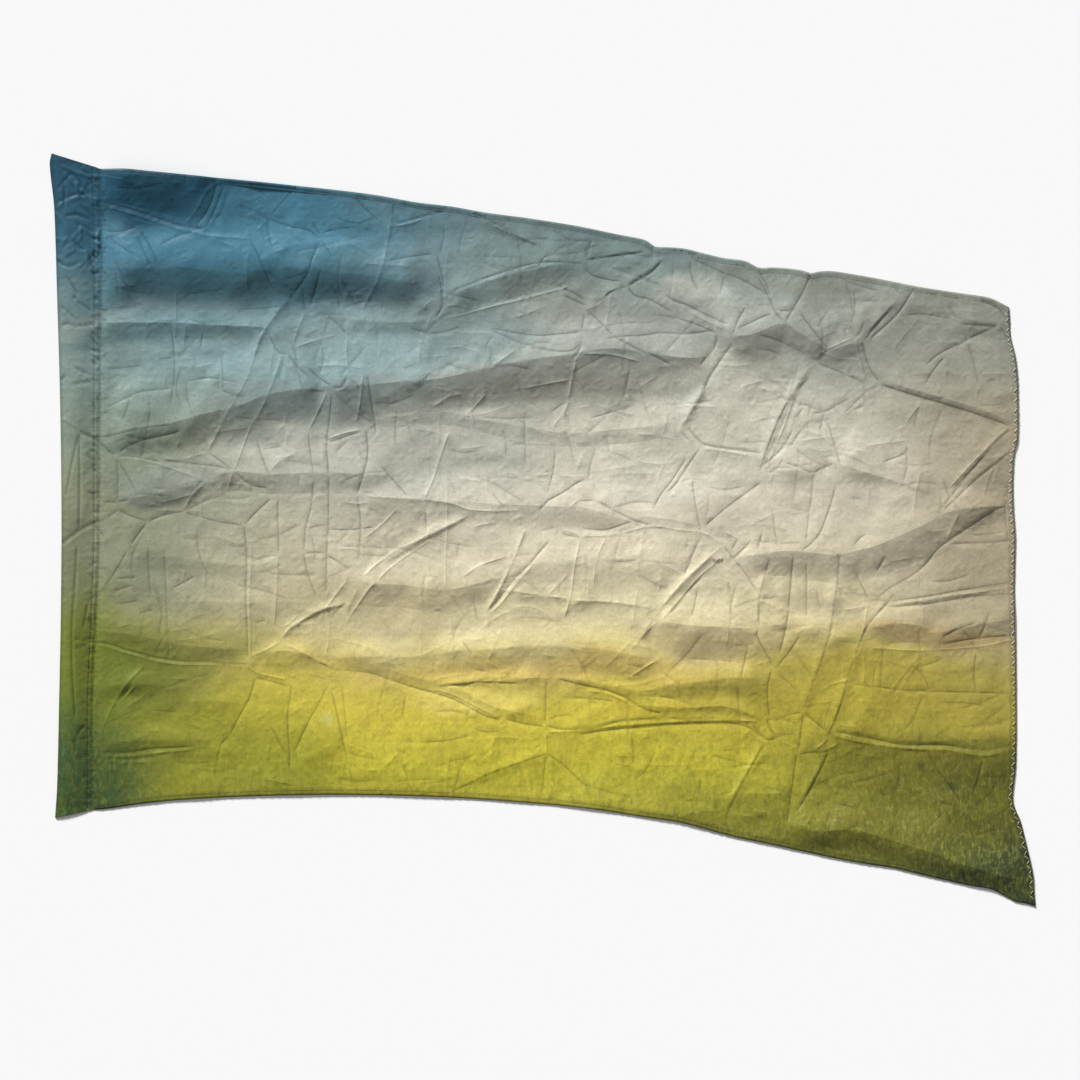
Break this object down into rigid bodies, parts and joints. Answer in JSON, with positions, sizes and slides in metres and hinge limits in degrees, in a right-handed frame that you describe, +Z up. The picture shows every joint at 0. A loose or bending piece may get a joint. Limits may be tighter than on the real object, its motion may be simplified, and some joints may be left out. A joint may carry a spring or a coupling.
{
  "type": "pole sleeve worship flag",
  "caption": "Wide thin cloth flag with a pole sleeve along one short edge, lying face up and creased by storage folds.",
  "frame": {"origin": "on the surface that the flag lies on, under the middle of its bounding box", "axes": "+X from the pole sleeve to the free edge, +Y to the top hem, +Z up out of the cloth's face"},
  "size_m": [1.3626, 1.041, 0.0145],
  "materials": {
    "printed_cloth": "satin",
    "sleeve_cloth": "satin"
  },
  "bodies": {
    "root": {"cloth_panel": "printed_cloth", "pole_sleeve": "sleeve_cloth"}
  },
  "joints": []
}
